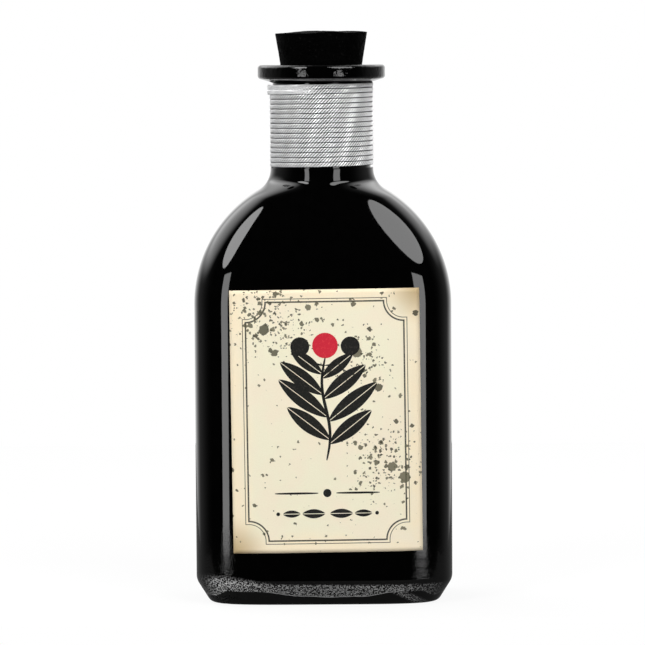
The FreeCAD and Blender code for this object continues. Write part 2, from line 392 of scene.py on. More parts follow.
# %% [markdown]
# ## Bare glass
# Bare glass shows only at the heel, and in the bore once the cork is out, but its tint and its faint
# waviness decide how the light breaks up there. The shader does the bending; the nodes add the ripple
# that a mould leaves.

# %% Finish of the glass
glass, tree, shader = new_finish("clear_glass")
set_plain(shader, Base_Color=(0.93, 0.95, 0.94, 1.0), Transmission_Weight=1.0, IOR=1.5)
MOULD_RIPPLE = 160
ripple = speckle(tree, MOULD_RIPPLE, 1.0)
tree.links.new(spread(tree, ripple, 0.3, 0.7, 0.0, 0.03), shader.inputs["Roughness"])
height_map(tree, shader, ripple, 0.25, 0.3 * MM)
bottle_glass.data.materials.append(glass)
print("glass finish on", bottle_glass.name)

# %% [markdown]
# ## Black lacquer
# The bottle is clear glass sprayed black on the outside. The coat could be a colour of the glass,
# but then the heel, where the spray thins out to single droplets, would have no depth behind it. So
# the coat is a skin of its own, a little outside the glass, that ends under the heel.

# %% The lacquer skin
COAT_LIFT = 0.03 * MM
COAT_THICKNESS = 0.02 * MM


def lifted(levels, lift):
    """The same levels moved out along the profile's normal."""
    moved = []
    for index, level in enumerate(levels):
        before = levels[max(index - 1, 0)]
        after = levels[min(index + 1, len(levels) - 1)]
        along = Vector((after.half_width - before.half_width, after.height - before.height)).normalized()
        moved.append(Level(level.half_width + lift * along.y, level.half_depth + lift * along.y,
                           level.squareness, level.height - lift * along.x))
    return moved


FIRST_COATED = 1
bm = bmesh.new()
stack_levels(bm, lifted(outside, COAT_LIFT)[FIRST_COATED:], RING_SEGMENTS)
bottle_lacquer = make_piece(bm, "bottle_lacquer", "bottle")
coat = bottle_lacquer.modifiers.new("coat", "SOLIDIFY")
coat.thickness = COAT_THICKNESS
coat.offset = -1.0

# %% [markdown]
# At the heel the spray thins out to a band of grey dust. A painted picture of it would end at a seam,
# so the band is worked out from the place on the bottle. Its lower edge is a shallow bowl in the middle,
# it reaches higher on the left and lower in both corners, and a run of dust slants down on the right.

# %% Where the dust lies
lacquer, tree, shader = new_finish("black_lacquer")
DUST_TOP = 5.6 * MM
DUST_FADE = 0.7 * MM
DUST_END = 2.25 * MM
DUST_EDGE = 0.1 * MM
DRIFTS = 120
DRIFT_HEIGHT = 0.15 * MM
BOWL_MIDDLE = 2 * MM
BOWL_BOTTOM = 7 * MM
BOWL_SIDE = 17 * MM
BOWL_RISE = 1.3 * MM
CORNER_START = 23.5 * MM
CORNER_END = 27 * MM
CORNER_DROP = 1.5 * MM
LEFT_FULL = -27 * MM
LEFT_NONE = -8 * MM
LEFT_RISE = 2.4 * MM
LEFT_FADE = 2.2 * MM
RUN_SLANT = 1.9
RUN_PLACE = 24.5 * MM
RUN_CORE = 0.8 * MM
RUN_EDGE = 2.6 * MM
RUN_SHARE = 0.9
RUN_FULL_BELOW = 3.6 * MM
RUN_NONE_ABOVE = 4.6 * MM
place = tree.nodes.new("ShaderNodeTexCoord").outputs["Object"]
along = add_node(tree, "ShaderNodeSeparateXYZ", {"Vector": place}).outputs
across = sums(tree, "ABSOLUTE", along["X"])
drift = spread(tree, speckle(tree, DRIFTS, 2.0, place), 0.3, 0.7, -DRIFT_HEIGHT, DRIFT_HEIGHT)
height = sums(tree, "ADD", along["Z"], drift)
off_middle = sums(tree, "ABSOLUTE", sums(tree, "SUBTRACT", along["X"], BOWL_MIDDLE))
dust_end = spread(tree, off_middle, BOWL_BOTTOM, BOWL_SIDE, DUST_END, DUST_END + BOWL_RISE)
corner_drop = spread(tree, across, CORNER_START, CORNER_END, 0.0, CORNER_DROP)
above_end = sums(tree, "SUBTRACT", height, sums(tree, "SUBTRACT", dust_end, corner_drop))
left_side = spread(tree, along["X"], LEFT_FULL, LEFT_NONE, 1.0, 0.0)
dust_top = sums(tree, "ADD", DUST_TOP, sums(tree, "MULTIPLY", left_side, LEFT_RISE))
dust_fade = sums(tree, "ADD", DUST_FADE, sums(tree, "MULTIPLY", left_side, LEFT_FADE))
under_top = spread(tree, sums(tree, "SUBTRACT", dust_top, height), 0.0, dust_fade)
band = sums(tree, "MULTIPLY", under_top, spread(tree, above_end, -DUST_EDGE, DUST_EDGE))
slanted = sums(tree, "ADD", along["X"], sums(tree, "MULTIPLY", along["Z"], RUN_SLANT))
off_run = sums(tree, "ABSOLUTE", sums(tree, "SUBTRACT", slanted, RUN_PLACE))
run = sums(tree, "MULTIPLY", spread(tree, off_run, RUN_CORE, RUN_EDGE, RUN_SHARE, 0.0),
           spread(tree, along["Z"], RUN_FULL_BELOW, RUN_NONE_ABOVE, 1.0, 0.0))
dusty = sums(tree, "MAXIMUM", band, run)
print(f"dust from {DUST_END / MM:.2f} to {DUST_TOP / MM:.2f} mm above the table")

# %% [markdown]
# Dust is single grains, so noise cuts the band up, and it thins towards the outline and on the right. A
# bright line along the bowl's edge is a painted highlight, grey put into the colour, and at the left
# corner some lacquer is missing, so that the glass shows. The rest is gloss black with a trace of
# orange peel, rougher along the lip.

# %% Finish of the lacquer
DROPLETS = 3000
GRAIN_LOW = 0.44
GRAIN_HIGH = 0.62
RIGHT_DUST = 0.6
OUTLINE_START = 26 * MM
OUTLINE_END = 29.5 * MM
OUTLINE_DUST = 0.15
RIGHT_START = 20 * MM
RIGHT_END = 25 * MM
RIGHT_CORNER_DUST = 0.5
EDGE_HIGHLIGHT_WIDTH = 0.16 * MM
EDGE_HIGHLIGHT_SHARE = 0.7
EDGE_HIGHLIGHT_FULL = 14 * MM
EDGE_HIGHLIGHT_NONE = 18 * MM
BLACKEST = (0.0003, 0.0003, 0.0003, 1)
BLACK = (0.0009, 0.0009, 0.0009, 1)
DUST_AND_HIGHLIGHT_GREY = (0.58, 0.58, 0.58, 1)
GLOSS = 0.035
DUST_ROUGHNESS = 0.55
CHIPS = 700
ORANGE_PEEL = 420
PEEL_HEIGHT = 0.002
GRIT_HEIGHT = 0.006
LIP_CRACKLE = 900
CRACKLE_HEIGHT = 0.09
LACQUER_IOR = 1.475
grains = spread(tree, speckle(tree, DROPLETS, 1.0, place), GRAIN_LOW, GRAIN_HIGH)
dust = sums(tree, "MULTIPLY", sums(tree, "MULTIPLY", dusty, grains),
            spread(tree, left_side, 0.0, 1.0, RIGHT_DUST, 1.0))
dust = sums(tree, "MULTIPLY", dust, spread(tree, across, OUTLINE_START, OUTLINE_END, 1.0, OUTLINE_DUST))
dust = sums(tree, "MULTIPLY", dust, spread(tree, along["X"], RIGHT_START, RIGHT_END, 1.0, RIGHT_CORNER_DUST))
off_edge = sums(tree, "ABSOLUTE", above_end)
# Painted highlight: a thin grey line along the dust's lower edge, in the middle of the bowl.
edge_highlight = sums(tree, "MULTIPLY", spread(tree, off_edge, 0.0, EDGE_HIGHLIGHT_WIDTH, EDGE_HIGHLIGHT_SHARE, 0.0),
            spread(tree, off_middle, EDGE_HIGHLIGHT_FULL, EDGE_HIGHLIGHT_NONE, 1.0, 0.0))
peel = speckle(tree, ORANGE_PEEL, 2.0, place)
black = mixed(tree, peel, BLACKEST, BLACK)
# The grey is the dust's own colour, and along the edge line it is a painted highlight.
colour = mixed(tree, sums(tree, "MAXIMUM", dust, edge_highlight), black, DUST_AND_HIGHLIGHT_GREY)
tree.links.new(colour, shader.inputs["Base Color"])
tree.links.new(spread(tree, dust, 0.0, 0.5, GLOSS, DUST_ROUGHNESS), shader.inputs["Roughness"])
left_corner = sums(tree, "MULTIPLY", spread(tree, along["X"], -26 * MM, -20 * MM, 1.0, 0.0),
                   spread(tree, above_end, -0.6 * MM, -0.2 * MM, 1.0, 0.0))
chipped = sums(tree, "MULTIPLY", left_corner, spread(tree, speckle(tree, CHIPS, 1.0, place), 0.48, 0.56))
tree.links.new(sums(tree, "SUBTRACT", 1.0, chipped), shader.inputs["Alpha"])
low_corners = sums(tree, "MULTIPLY", spread(tree, along["Z"], 9 * MM, 24 * MM, GRIT_HEIGHT, 0.0),
                   spread(tree, across, 19 * MM, 23 * MM))
grit = sums(tree, "MULTIPLY", low_corners, grains)
crackle = sums(tree, "MULTIPLY", spread(tree, along["Z"], 127.6 * MM, 128.4 * MM, 0.0, CRACKLE_HEIGHT),
               speckle(tree, LIP_CRACKLE, 2.0, place))
relief = sums(tree, "ADD", sums(tree, "MULTIPLY", peel, PEEL_HEIGHT), sums(tree, "ADD", grit, crackle))
height_map(tree, shader, relief, 1.0, MM)
set_plain(shader, IOR=LACQUER_IOR)
bottle_lacquer.data.materials.append(lacquer)
print("lacquer finish on", bottle_lacquer.name)

# %% [markdown]
# ## Cork
# The stopper is a tapered plug of pressed cork, dyed black. A plain cone would look like rubber, so
# the same ring of vertices is taken up the cone and over the top, and then each vertex is pushed in
# a little by noise: gently all over, deeper in a few pits, and most along the crumbled top edge. The
# noise only pushes inwards, so the cork still fits the mouth.

# %% The cork
CORK_BOTTOM = 119.4 * MM
CORK_RIM = 139.6 * MM
CORK_TOP = 140.0 * MM
CORK_TAPER = math.radians(8.84)
CORK_CLEARANCE = 0.04 * MM
CORK_EDGE = 0.12 * MM
CORK_SEGMENTS = 180
CORK_RINGS = 60
CAP_RINGS = 9
PIT_SPACING = 2.6 * MM
PIT_DEPTH = 0.45 * MM
CRUMB_SPACING = 1.1 * MM
CRUMB_DEPTH = 0.3 * MM
CUT_WAVE = 6.0 * MM
CUT_DEPTH = 0.5 * MM
CUT_TILT = 0.025
PIT_SHARE = 0.35
GRAIN_DEPTH = 0.06 * MM
GRAIN_SPACING = 0.6 * MM
CRUMB_BAND = 1.2 * MM
HELD_SHARE = 0.15

slope = math.tan(CORK_TAPER)
seat_radius = (BORE_RADIUS + MOUTH_ROUND - (MOUTH_ROUND + CORK_CLEARANCE) / math.cos(CORK_TAPER)
               + MOUTH_ROUND * slope)


def cork_radius(height):
    """Radius of the cork's cone at a height."""
    return seat_radius + slope * (height - LIP_TOP)


def cork_levels():
    """Bottom, cone, rounded edge and crowned top of the cork."""
    bottom_radius = cork_radius(CORK_BOTTOM)
    rim_radius = cork_radius(CORK_RIM)
    levels = [round_level(bottom_radius * share, CORK_BOTTOM) for share in steps(CAP_RINGS, 0.1, 1.0)]
    cone_top = CORK_RIM - CORK_EDGE
    levels += [round_level(cork_radius(height), height)
               for height in steps(CORK_RINGS, CORK_BOTTOM, cone_top)]
    for turn in steps(ROUND_STEPS, 0.0, math.pi / 2)[1:]:
        levels.append(round_level(cork_radius(cone_top) - CORK_EDGE * (1 - math.cos(turn)),
                                  cone_top + CORK_EDGE * math.sin(turn)))
    top_radius = levels[-1].half_width
    for share in steps(CAP_RINGS, 1.0, 0.1)[1:]:
        crown = (CORK_TOP - CORK_RIM) * (1 - (share * top_radius / rim_radius) ** 2)
        levels.append(round_level(top_radius * share, CORK_RIM + crown))
    return levels


def crumble(point):
    """How far the cork's surface is worn in at a point."""
    pits = noise.voronoi(point / PIT_SPACING)[0][0]
    pit = PIT_DEPTH * max(0.0, 1 - pits / PIT_SHARE) ** 2
    grain = GRAIN_DEPTH * (0.5 + 0.5 * noise.noise(point / GRAIN_SPACING))
    edge_share = max(0.0, 1 - abs(point.z - CORK_RIM) / CRUMB_BAND)
    crumb = CRUMB_DEPTH * edge_share * max(0.0, noise.noise(point / CRUMB_SPACING))
    held_share = 1.0 if point.z > LIP_TOP else HELD_SHARE
    return (pit + grain) * held_share + crumb


bm = bmesh.new()
low_ring, high_ring = stack_levels(bm, cork_levels(), CORK_SEGMENTS)
bmesh.ops.contextual_create(bm, geom=low_ring)
bmesh.ops.contextual_create(bm, geom=high_ring)
cork_middle = Vector((0.0, 0.0, (CORK_BOTTOM + CORK_TOP) / 2))
for vert in bm.verts:
    depth = crumble(vert.co)
    inward = Vector((-vert.co.x, -vert.co.y, 0.0)).normalized()
    if vert.co.z > CORK_RIM - CORK_EDGE:
        inward = (cork_middle - vert.co).normalized()
    vert.co += inward * depth
    cut_share = max(0.0, 1 - (CORK_TOP - vert.co.z) / CUT_WAVE)
    cut = CUT_DEPTH * (0.5 + 0.5 * noise.noise(Vector((vert.co.x, vert.co.y, 0.0)) / CUT_WAVE))
    vert.co.z -= cut_share * (cut + CUT_TILT * max(0.0, -vert.co.x))
cork = make_piece(bm, "cork_plug", "stopper", "cork_stopper")

# %% [markdown]
# Dyed cork is black with a dusting of paler grains, and almost without gloss. Two scales of noise
# give the grain, and the same noise lifts the surface, so that light catches the grains.

# %% Finish of the cork
dyed_cork, tree, shader = new_finish("black_dyed_cork")
CORK_GRAIN = 1500
CORK_LUMPS = 380
grain = speckle(tree, CORK_GRAIN, 4.0)
lumps = speckle(tree, CORK_LUMPS, 2.0)
pale = spread(tree, grain, 0.58, 0.75)
dyed = mixed(tree, pale, (0.0003, 0.0003, 0.0003, 1), (0.0045, 0.0043, 0.0041, 1))
tree.links.new(dyed, shader.inputs["Base Color"])
tree.links.new(spread(tree, lumps, 0.3, 0.7, 0.6, 0.9), shader.inputs["Roughness"])
height_map(tree, shader, sums(tree, "ADD", grain, lumps), 0.8, 0.25 * MM)
set_plain(shader, Specular_IOR_Level=0.02)
cork.data.materials.append(dyed_cork)
print("cork finish on", cork.name)

# %% [markdown]
# ## Winding
# The neck is bound with one silver cord of three twisted strands. A tube with a twisted bump would
# stay smooth at its outline, so each strand is a curve of its own: it goes round the neck in a helix
# and round the cord's middle at the same time. The cord is pressed flat against the glass, so the
# small circle is wider along the neck than across it.

# %% The winding
CORD_MIDDLE = 12.40 * MM
CORD_PITCH = 1.184 * MM
CORD_START = 106.85 * MM
CORD_START_ANGLE = math.radians(135)
CORD_TURNS = 16.68
CORD_HIGHEST = 126.6 * MM
STRANDS = 3
STRAND_RADIUS = 0.22 * MM
STRAND_SWING_ACROSS = 0.11 * MM
STRAND_SWING_ALONG = 0.44 * MM
CORD_LAY = 2.3237 * MM
POINTS_PER_LAY = 7
TUCK_LIFT = 0.6 * MM
TUCK_TURNS = 2.0
TUCK_MIDDLE = math.radians(190)
TUCK_WIDTH = math.radians(75)


def tuck_lift(turns):
    """The last turns ride up where the cord's end is tucked under them."""
    if CORD_TURNS - turns > TUCK_TURNS:
        return 0.0
    turn = CORD_START_ANGLE + 2 * math.pi * turns
    away = abs((turn - TUCK_MIDDLE + math.pi) % (2 * math.pi) - math.pi)
    return TUCK_LIFT * max(0.0, math.cos(min(away / TUCK_WIDTH, 1.0) * math.pi / 2))


def strand_point(turns, phase):
    """Where a strand is after some turns round the neck."""
    turn = CORD_START_ANGLE + 2 * math.pi * turns
    run = math.hypot(CORD_MIDDLE * 2 * math.pi, CORD_PITCH) * turns
    twist = 2 * math.pi * run / CORD_LAY + phase
    radius = CORD_MIDDLE + tuck_lift(turns) + STRAND_SWING_ACROSS * math.cos(twist)
    middle = min(CORD_START + CORD_PITCH * turns, CORD_HIGHEST)
    height = middle + STRAND_SWING_ALONG * math.sin(twist)
    return Vector((radius * math.cos(turn), radius * math.sin(turn), height))


def strand_curve(phase):
    """One strand as a curve with a round section."""
    curve = bpy.data.curves.new("strand", "CURVE")
    curve.dimensions = "3D"
    curve.bevel_depth = STRAND_RADIUS
    curve.bevel_resolution = 1
    curve.use_fill_caps = True
    cord_length = CORD_TURNS * math.hypot(CORD_MIDDLE * 2 * math.pi, CORD_PITCH)
    count = int(cord_length / CORD_LAY * POINTS_PER_LAY)
    spline = curve.splines.new("POLY")
    spline.points.add(count)
    for point, share in zip(spline.points, steps(count)):
        point.co = (*strand_point(CORD_TURNS * share, phase), 1.0)
    return curve


bm = bmesh.new()
for strand in range(STRANDS):
    curve = strand_curve(2 * math.pi * strand / STRANDS)
    holder = bpy.data.objects.new("strand", curve)
    mesh = bpy.data.meshes.new_from_object(holder)
    bm.from_mesh(mesh)
    bpy.data.objects.remove(holder)
    bpy.data.curves.remove(curve)
    bpy.data.meshes.remove(mesh)
winding = make_piece(bm, "neck_winding", "bottle", "neck_cord")

# %% [markdown]
# Metallic thread is a bright foil round a core: part of it mirrors like metal, the rest is pale
# thread. Between the strands the colour is darkened to black as painted shade, read from the distance
# from the neck's axis. Noise in the roughness makes the glints come and go, and a fine height breaks them up.

# %% Finish of the winding
silver, tree, shader = new_finish("silver_thread")
THREAD_BREAKS = 5200
THREAD_TARNISH = 600
GROOVE_SHADE_DEPTH = 0.13 * MM
GROOVE_SHADE_TOP = 0.23 * MM
breaks = speckle(tree, THREAD_BREAKS, 2.0)
tarnish = speckle(tree, THREAD_TARNISH, 2.0)
place = tree.nodes.new("ShaderNodeTexCoord").outputs["Object"]
flat = add_node(tree, "ShaderNodeVectorMath", {0: place, 1: (1.0, 1.0, 0.0)}, operation="MULTIPLY").outputs[0]
from_axis = add_node(tree, "ShaderNodeVectorMath", {0: flat}, operation="LENGTH").outputs["Value"]
# Painted shade: the colour falls to near black towards the neck's axis, between the strands.
outer = spread(tree, from_axis, CORD_MIDDLE + GROOVE_SHADE_DEPTH, CORD_MIDDLE + GROOVE_SHADE_TOP)
foil = mixed(tree, spread(tree, tarnish, 0.35, 0.65), (0.90, 0.90, 0.91, 1), (0.98, 0.98, 0.98, 1))
tree.links.new(mixed(tree, outer, (0.01, 0.01, 0.01, 1), foil), shader.inputs["Base Color"])
tree.links.new(spread(tree, breaks, 0.3, 0.7, 0.18, 0.32), shader.inputs["Roughness"])
height_map(tree, shader, breaks, 0.05, 0.05 * MM)
set_plain(shader, Metallic=0.18, Specular_Tint=(0.6, 0.6, 0.6, 1.0))
winding.data.materials.append(silver)
print("silver finish on", winding.name)

# %% [markdown]
# ## Paper label
# The label is a sheet glued to the front panel, turned by half a degree. A flat grid is laid
# out in the label's own directions and then each vertex moves back to the panel's curve. The grid
# brings its own UV map, which runs over the paper as the print does.

# %% The paper
LABEL_WIDTH = 46.0 * MM
LABEL_HEIGHT = 64.0 * MM
LABEL_BOTTOM = 13.4 * MM
LABEL_SHIFT = 0.64 * MM
LABEL_TILT = math.radians(0.55)
GLUE_THICKNESS = 0.05 * MM
PAPER_THICKNESS = 0.15 * MM
LABEL_COLUMNS = 48
LABEL_ROWS = 64


def on_panel(across, up, lift):
    """A point of the front panel, given in the label's own directions, lifted off the glass."""
    x = LABEL_SHIFT + across * math.cos(LABEL_TILT) - up * math.sin(LABEL_TILT)
    z = LABEL_BOTTOM + LABEL_HEIGHT / 2 + across * math.sin(LABEL_TILT) + up * math.cos(LABEL_TILT)
    half_width = BODY_HALF_WIDTH + lift
    half_depth = BODY_HALF_DEPTH + lift
    reach = (1 - abs(x / half_width) ** BODY_SQUARENESS) ** (1 / BODY_SQUARENESS)
    return Vector((x, -half_depth * reach, z))


bm = bmesh.new()
bm.loops.layers.uv.new("print")
bmesh.ops.create_grid(bm, x_segments=LABEL_COLUMNS, y_segments=LABEL_ROWS, size=0.5, calc_uvs=True)
for vert in bm.verts:
    vert.co = on_panel(vert.co.x * LABEL_WIDTH, vert.co.y * LABEL_HEIGHT, GLUE_THICKNESS + PAPER_THICKNESS)
TO_THE_FRONT = Vector((0.0, -1.0, 0.0))
label = make_piece(bm, "paper_label", "bottle", "front_label", TO_THE_FRONT)
sheet = label.modifiers.new("paper", "SOLIDIFY")
sheet.thickness = PAPER_THICKNESS
print("first normal of the paper:", [round(value, 2) for value in label.data.polygons[0].normal])

# %% [markdown]
# Old paper is cream in the middle and tan along its edges, and this one is spattered with drops of
# ink. The spatter is needed at three sizes, so it is a node group: cells of a Voronoi pattern, each
# with one drop of its own size, and only as many drops as the density at that place lets through.

# %% Spatter as a node group


def spatter_group():
    """Drops of random size in the cells of a Voronoi pattern."""
    tree = bpy.data.node_groups.new("ink_spatter", "ShaderNodeTree")
    for name, kind in (("Vector", "NodeSocketVector"), ("Scale", "NodeSocketFloat"),
                       ("Density", "NodeSocketFloat"), ("Drop", "NodeSocketFloat")):
        tree.interface.new_socket(name, in_out="INPUT", socket_type=kind)
    for name in ("Mask", "Tone"):
        tree.interface.new_socket(name, in_out="OUTPUT", socket_type="NodeSocketFloat")
    given = tree.nodes.new("NodeGroupInput").outputs
    ragged = add_node(tree, "ShaderNodeTexNoise", {"Vector": given["Vector"], "Scale": 1.7, "Detail": 2.0})
    shift = add_node(tree, "ShaderNodeVectorMath", {0: ragged.outputs["Color"], 1: (0.9, 0.9, 0.0),
                                                    2: given["Vector"]}, operation="MULTIPLY_ADD")
    cells = add_node(tree, "ShaderNodeTexVoronoi", {"Vector": shift.outputs[0], "Scale": given["Scale"]},
                     voronoi_dimensions="2D")
    chance = add_node(tree, "ShaderNodeSeparateColor", {"Color": cells.outputs["Color"]}).outputs
    size = sums(tree, "MULTIPLY", sums(tree, "POWER", chance["Red"], 2.5), given["Drop"])
    inside = spread(tree, sums(tree, "SUBTRACT", cells.outputs["Distance"], size), -0.05, 0.0, 1.0, 0.0)
    let_through = sums(tree, "LESS_THAN", chance["Green"], given["Density"])
    result = tree.nodes.new("NodeGroupOutput").inputs
    tree.links.new(sums(tree, "MULTIPLY", inside, let_through), result["Mask"])
    tree.links.new(chance["Blue"], result["Tone"])
    return tree


spatter = spatter_group()
print("node group:", spatter.name)

# %% [markdown]
# The print round the label is a double line with hollow corners, as on old tickets. Its distance
# field is a box with a disc taken out of each corner, so one field gives both lines: the thin one
# where the distance is nothing, the thick one a little further in.

# %% Border of the label
paper, tree, shader = new_finish("aged_paper")
LABEL_MM = (LABEL_WIDTH / MM, LABEL_HEIGHT / MM)
BORDER_HALF = (19.9, 29.8)
CORNER_HOLLOW = 4.1
CORNER_STEP = 0.75
THIN_LINE = 0.09
THICK_LINE = 0.19
LINE_GAP = 0.75
print_place = tree.nodes.new("ShaderNodeUVMap")
print_place.uv_map = "print"
paper_mm = add_node(tree, "ShaderNodeVectorMath",
                    {0: print_place.outputs[0], 1: (*LABEL_MM, 0.0),
                     2: (-LABEL_MM[0] / 2, -LABEL_MM[1] / 2, 0.0)}, operation="MULTIPLY_ADD").outputs[0]


def distance_to(point):
    """Distance in millimetres from a point of the paper."""
    return add_node(tree, "ShaderNodeVectorMath", {0: paper_mm, 1: (*point, 0.0)},
                    operation="DISTANCE").outputs["Value"]


folded = add_node(tree, "ShaderNodeVectorMath", {0: paper_mm}, operation="ABSOLUTE").outputs[0]
sides = add_node(tree, "ShaderNodeSeparateXYZ", {"Vector": folded}).outputs
box = sums(tree, "MAXIMUM", sums(tree, "SUBTRACT", sides["X"], BORDER_HALF[0]),
           sums(tree, "SUBTRACT", sides["Y"], BORDER_HALF[1]))
corner_middle = (BORDER_HALF[0] - CORNER_STEP, BORDER_HALF[1] - CORNER_STEP, 0.0)
inwards = add_node(tree, "ShaderNodeVectorMath", {0: corner_middle, 1: folded},
                   operation="SUBTRACT").outputs[0]
inwards = add_node(tree, "ShaderNodeVectorMath", {0: inwards, 1: (0.0, 0.0, 0.0)},
                   operation="MAXIMUM").outputs[0]
corner = add_node(tree, "ShaderNodeVectorMath", {0: inwards}, operation="LENGTH").outputs["Value"]
hollow = sums(tree, "SUBTRACT", CORNER_HOLLOW, corner)
field = sums(tree, "MAXIMUM", box, hollow)


def border_line(inset, half_width):
    """A line of the border, an inset inside the outer one."""
    away = sums(tree, "ABSOLUTE", sums(tree, "ADD", field, inset))
    return spread(tree, away, half_width - 0.05, half_width + 0.05, 1.0, 0.0)


print(f"border lines {LINE_GAP:.2f} mm apart")

# %% [markdown]
# The sheet is cream, in two tones that drift like clouds, tan where the edge is worn, and stained at two
# corners. The border and the spatter go over it, thickest at the top left and on the right, and a fibre
# noise breaks up the lines of the print.

# %% Finish of the paper
FIBRES = 3.0
CLOUDS = 0.09
CREAM = (0.87, 0.83, 0.63, 1)
WARM_CREAM = (0.89, 0.80, 0.62, 1)
WORN = (0.93, 0.80, 0.58, 1)
STAINED = (0.52, 0.39, 0.21, 1)
FIBRE_BROWN = (0.70, 0.58, 0.40, 1)
LINE_INK = (0.022, 0.022, 0.018, 1)
DARK_DROP = (0.030, 0.027, 0.015, 1)
PALE_DROP = (0.16, 0.15, 0.095, 1)
STAIN_REACH = 10.0
STAIN_CORNERS = ((23.0, 32.0), (-23.0, -32.0))
fibre = speckle(tree, FIBRES, 3.0, paper_mm)
cloud = speckle(tree, CLOUDS, 3.0, paper_mm)
edge = sums(tree, "MINIMUM", sums(tree, "SUBTRACT", LABEL_MM[0] / 2, sides["X"]),
            sums(tree, "SUBTRACT", LABEL_MM[1] / 2, sides["Y"]))
ragged_edge = sums(tree, "ADD", edge, spread(tree, cloud, 0.3, 0.7, -2.0, 2.0))
worn_edge = spread(tree, ragged_edge, -0.5, 5.5, 1.0, 0.0)
stains = [spread(tree, distance_to(corner), 0.0, STAIN_REACH, 1.0, 0.0) for corner in STAIN_CORNERS]
colour = mixed(tree, spread(tree, cloud, 0.35, 0.65), CREAM, WARM_CREAM)
colour = mixed(tree, worn_edge, colour, WORN)
colour = mixed(tree, sums(tree, "MAXIMUM", *stains), colour, STAINED)
colour = mixed(tree, spread(tree, fibre, 0.3, 0.75, 0.0, 0.12), colour, FIBRE_BROWN)
lines = sums(tree, "MAXIMUM", border_line(0.0, THIN_LINE), border_line(LINE_GAP, THICK_LINE))
lines = sums(tree, "MULTIPLY", lines, spread(tree, fibre, 0.2, 0.5, 0.7, 0.95))
colour = mixed(tree, lines, colour, LINE_INK)
BARE_DENSITY = 0.05
SPLASHES = (((-12.0, 25.0), 15.0, 0.85), ((8.0, 15.0), 11.0, 0.6), ((13.5, -10.0), 14.0, 0.6))
density = BARE_DENSITY
for middle, reach, share in SPLASHES:
    splash = spread(tree, distance_to(middle), 1.0, reach, share, BARE_DENSITY)
    density = sums(tree, "MAXIMUM", density, splash)
SPATTER_SIZES = ((0.36, 0.62, 0.4), (0.8, 0.62, 0.8), (1.6, 0.7, 1.0))
for scale, drop, share in SPATTER_SIZES:
    drops = add_node(tree, "ShaderNodeGroup", {}, node_tree=spatter)
    for name, value in (("Scale", scale), ("Drop", drop)):
        drops.inputs[name].default_value = value
    tree.links.new(paper_mm, drops.inputs["Vector"])
    tree.links.new(sums(tree, "MULTIPLY", density, share), drops.inputs["Density"])
    ink = mixed(tree, drops.outputs["Tone"], DARK_DROP, PALE_DROP)
    colour = mixed(tree, sums(tree, "MULTIPLY", drops.outputs["Mask"], 0.9), colour, ink)
tree.links.new(colour, shader.inputs["Base Color"])
tree.links.new(spread(tree, fibre, 0.3, 0.7, 0.75, 0.9), shader.inputs["Roughness"])
height_map(tree, shader, fibre, 0.15, 0.03 * MM)
set_plain(shader, Specular_IOR_Level=0.2)
label.data.materials.append(paper)
print("paper finish on", label.name)

# %% [markdown]
# ## Printed sprig
# In the middle of the label stands a sprig with berries, over a plain ornament. Drawn with nodes it
# would be a long chain of shapes. As thin patches of ink on the paper it is quickly made: a grid is
# bent to a leaf or a stem, a disc is a berry, and all are laid on the panel like the paper.

# %% Shapes of the print
INK_LIFT = GLUE_THICKNESS + PAPER_THICKNESS + 0.015 * MM
INK_THICKNESS = 0.01 * MM
DISC_SEGMENTS = 28
STROKE_STEPS = 24
LEAF_FULLNESS = 0.75
LEAF_TIP = 0.02
STROKE_END = 0.35


def lay_down(verts, place):
    """Lay flat vertices, in millimetres, on the panel after a change of place."""
    for vert in verts:
        across, up = place(vert.co.x, vert.co.y)
        vert.co = on_panel(across * MM, up * MM, INK_LIFT)


def disc(bm, middle, radius):
    """A round dot of ink."""
    verts = bmesh.ops.create_circle(bm, cap_ends=True, segments=DISC_SEGMENTS, radius=radius)["verts"]
    lay_down(verts, lambda x, y: (middle[0] + x, middle[1] + y))


def leaf(bm, foot, angle, length, width, vein=0.16):
    """A pointed leaf in two halves, with its vein left bare between them."""
    for side in (1, -1):
        verts = bmesh.ops.create_grid(bm, x_segments=STROKE_STEPS, y_segments=1, size=1.0)["verts"]

        def place(x, y):
            swell = max(0.0, math.cos(x * math.pi / 2)) ** LEAF_FULLNESS
            outer = LEAF_TIP + (width - vein) / 2 * swell
            along = (x + 1) / 2 * length
            bend = side * (vein / 2 + (outer if y > 0 else 0.0))
            return (foot[0] + along * math.cos(angle) - bend * math.sin(angle),
                    foot[1] + along * math.sin(angle) + bend * math.cos(angle))

        lay_down(verts, place)


def stroke(bm, path, width):
    """A line of ink along a path, tapering to both ends."""
    verts = bmesh.ops.create_grid(bm, x_segments=STROKE_STEPS, y_segments=1, size=1.0)["verts"]

    def place(x, y):
        share = (x + 1) / 2
        here = Vector(path(share))
        ahead = (Vector(path(share + 0.01)) - Vector(path(share - 0.01))).normalized()
        half = width / 2 * (STROKE_END + (1 - STROKE_END) * math.sin(math.pi * share) ** 0.5)
        return (here.x - ahead.y * y * half, here.y + ahead.x * y * half)

    lay_down(verts, place)


print("ink is", round(INK_THICKNESS / MM, 3), "mm thick")

